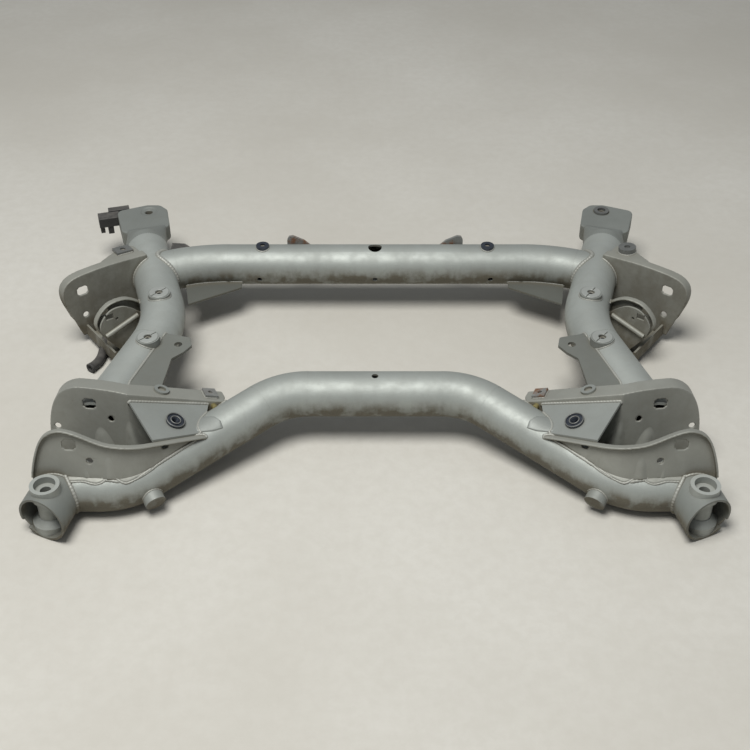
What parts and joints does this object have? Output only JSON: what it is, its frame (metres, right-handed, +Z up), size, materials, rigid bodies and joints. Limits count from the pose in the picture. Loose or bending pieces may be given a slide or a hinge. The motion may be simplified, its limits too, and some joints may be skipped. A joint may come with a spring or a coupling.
{
  "type": "front axle subframe",
  "caption": "Welded tubular steel front axle subframe with bent crossmembers, curved side rails, control arm brackets, vertical bolt sleeves and flat rear mount ends.",
  "frame": {"origin": "on the floor under the middle of the bounding box", "axes": "+X to the right across the car, +Y to the rear of the car, +Z up"},
  "size_m": [0.9284, 0.6903, 0.1272],
  "materials": {
    "tube_paint": "satin silver paint",
    "mount_paint": "satin silver paint",
    "sleeve_paint": "satin silver paint, worn",
    "front_ear_paint": "satin silver paint, dusty",
    "rear_ear_paint": "satin silver paint, dusty",
    "plate_paint": "satin silver paint",
    "dark_steel": "dark oily steel",
    "rusty_steel": "rusty",
    "zinc_stud": "yellow zinc",
    "black_plastic": "matte",
    "worn_steel": "dull"
  },
  "bodies": {
    "root": {"front_crossmember": "tube_paint", "rear_crossmember": "tube_paint", "left_side_rail": "tube_paint", "right_side_rail": "tube_paint", "left_rear_mount": "mount_paint", "right_rear_mount": "mount_paint", "left_front_mount_tube": "mount_paint", "right_front_mount_tube": "mount_paint", "left_front_sleeve": "sleeve_paint", "right_front_sleeve": "sleeve_paint", "left_front_ear": "front_ear_paint", "right_front_ear": "front_ear_paint", "left_inner_ear": "front_ear_paint", "right_inner_ear": "front_ear_paint", "left_top_plate": "plate_paint", "right_top_plate": "plate_paint", "top_plate_bosses": "dark_steel", "flange_eyelets": "plate_paint", "flange_nut_plates": "rusty_steel", "flange_studs": "zinc_stud", "left_rear_ear": "rear_ear_paint", "right_rear_ear": "rear_ear_paint", "left_d_ear": "rear_ear_paint", "right_d_ear": "rear_ear_paint", "left_d_cover": "rear_ear_paint", "right_d_cover": "rear_ear_paint", "left_strap": "rear_ear_paint", "right_strap": "rear_ear_paint", "left_web_plate": "plate_paint", "right_web_plate": "plate_paint", "mount_seats": "plate_paint", "left_gusset": "plate_paint", "right_gusset": "plate_paint", "rear_tube_bosses": "dark_steel", "upright_tabs": "rusty_steel", "left_side_tab": "worn_steel", "right_side_disc": "worn_steel", "right_mount_washer": "worn_steel", "left_clip": "black_plastic", "left_blade": "black_plastic", "left_hook": "black_plastic", "front_stubs": "plate_paint"}
  },
  "joints": []
}
